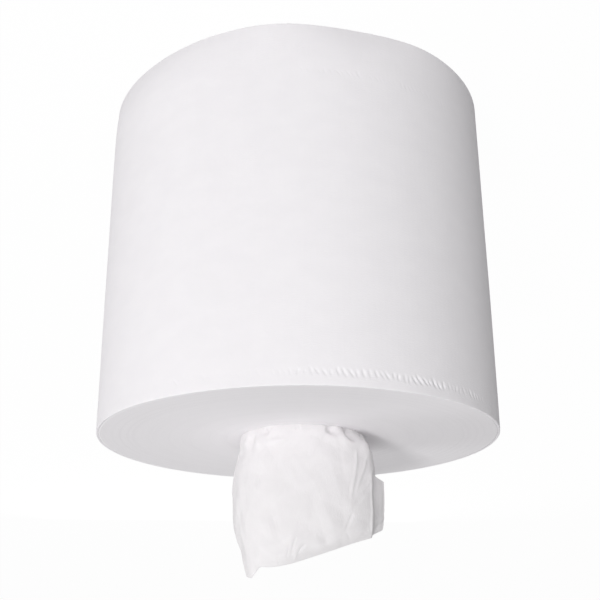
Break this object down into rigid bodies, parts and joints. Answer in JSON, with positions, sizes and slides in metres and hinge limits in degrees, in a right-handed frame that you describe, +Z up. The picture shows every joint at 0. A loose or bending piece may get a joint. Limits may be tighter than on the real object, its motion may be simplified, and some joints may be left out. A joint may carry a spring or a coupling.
{
  "type": "paper towel roll",
  "caption": "Coreless centre-pull roll of white paper towel, standing on its plain end, with its first sheet pulled up through the middle in a gathered bunch.",
  "frame": {"origin": "centre of the plain end, on the surface that the roll stands on", "axes": "+Z up the roll's axis, towards the pulled-out sheet; the free corner of the sheet is towards +X and its flap towards -X"},
  "size_m": [0.2273, 0.2276, 0.2803],
  "materials": {
    "towel_paper": "matt, soft, lightly creped two-ply tissue"
  },
  "bodies": {
    "root": {"towel_roll": "towel_paper"}
  },
  "joints": []
}
